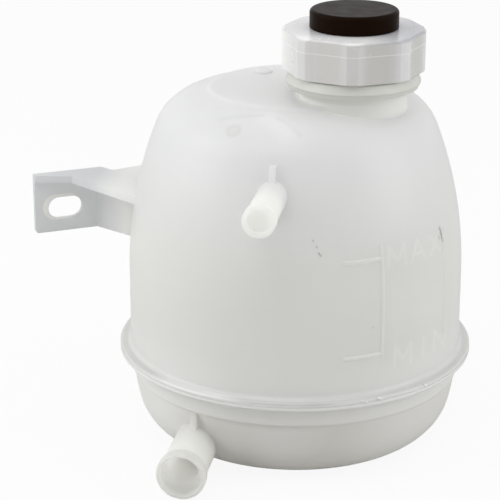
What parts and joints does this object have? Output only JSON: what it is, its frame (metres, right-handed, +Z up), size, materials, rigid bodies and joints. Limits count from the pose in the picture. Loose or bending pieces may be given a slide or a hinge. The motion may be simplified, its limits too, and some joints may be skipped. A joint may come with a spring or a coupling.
{
  "type": "coolant expansion tank",
  "caption": "Domed two-piece coolant expansion tank with a side bracket, a hose nozzle, a closed stub and an offset screw cap with pressure and vacuum valves.",
  "frame": {"origin": "centre of the flat base, on the axis of the round tank body", "axes": "+Z up along the tank's axis, -Y along the hose nozzle and the stub, towards their mouths; the bracket reaches to -X"},
  "size_m": [0.1989, 0.1761, 0.1941],
  "materials": {
    "tank_upper": "milky translucent polypropylene, satin",
    "tank_lower": "milky translucent polypropylene, satin",
    "cap_white": "moulded white plastic, satin",
    "cap_brown": "moulded dark brown plastic, satin",
    "natural_plastic": "moulded plastic in its natural off-white",
    "seal_rubber": "moulded rubber",
    "brass": "turned brass",
    "pressed_steel": "pressed stainless sheet",
    "spring_steel": "drawn spring wire"
  },
  "bodies": {
    "tank": {"upper_shell": "tank_upper", "lower_shell": "tank_lower"},
    "cap_insert": {"cap_crown": "cap_brown", "valve_body": "natural_plastic", "spring_cup": "pressed_steel", "neck_gasket": "seal_rubber", "neck_o_ring": "seal_rubber", "pressure_spring": "spring_steel"},
    "cap_ring": {"cap_ring": "cap_white"},
    "pressure_valve": {"pressure_disc": "brass", "pressure_seal": "seal_rubber", "vacuum_spring": "spring_steel"},
    "vacuum_valve": {"vacuum_valve": "brass", "vacuum_clip": "pressed_steel"}
  },
  "joints": [
    {"name": "cap_lift", "type": "slide", "parent": "tank", "child": "cap_insert", "axis": [0, 0, 1], "range_m": [0, 0.01]},
    {"name": "cap_turn", "type": "hinge", "parent": "cap_insert", "child": "cap_ring", "pos_m": [0.02588, -0.01263, 0.17], "axis": [0, 0, 1], "range_deg": [0, 905]},
    {"name": "pressure_open", "type": "slide", "parent": "cap_insert", "child": "pressure_valve", "axis": [0, 0, 1], "range_m": [0, 0.003], "stiffness_N_per_m": 4500, "springref_m": -0.011, "deforming": ["pressure_spring"]},
    {"name": "vacuum_open", "type": "slide", "parent": "pressure_valve", "child": "vacuum_valve", "axis": [0, 0, -1], "range_m": [0, 0.0015], "stiffness_N_per_m": 150, "springref_m": -0.003, "deforming": ["vacuum_spring"]}
  ],
  "couplings": [
    {"joint": "cap_turn", "follows": "cap_lift", "rad_per_m": 1570.8}
  ]
}
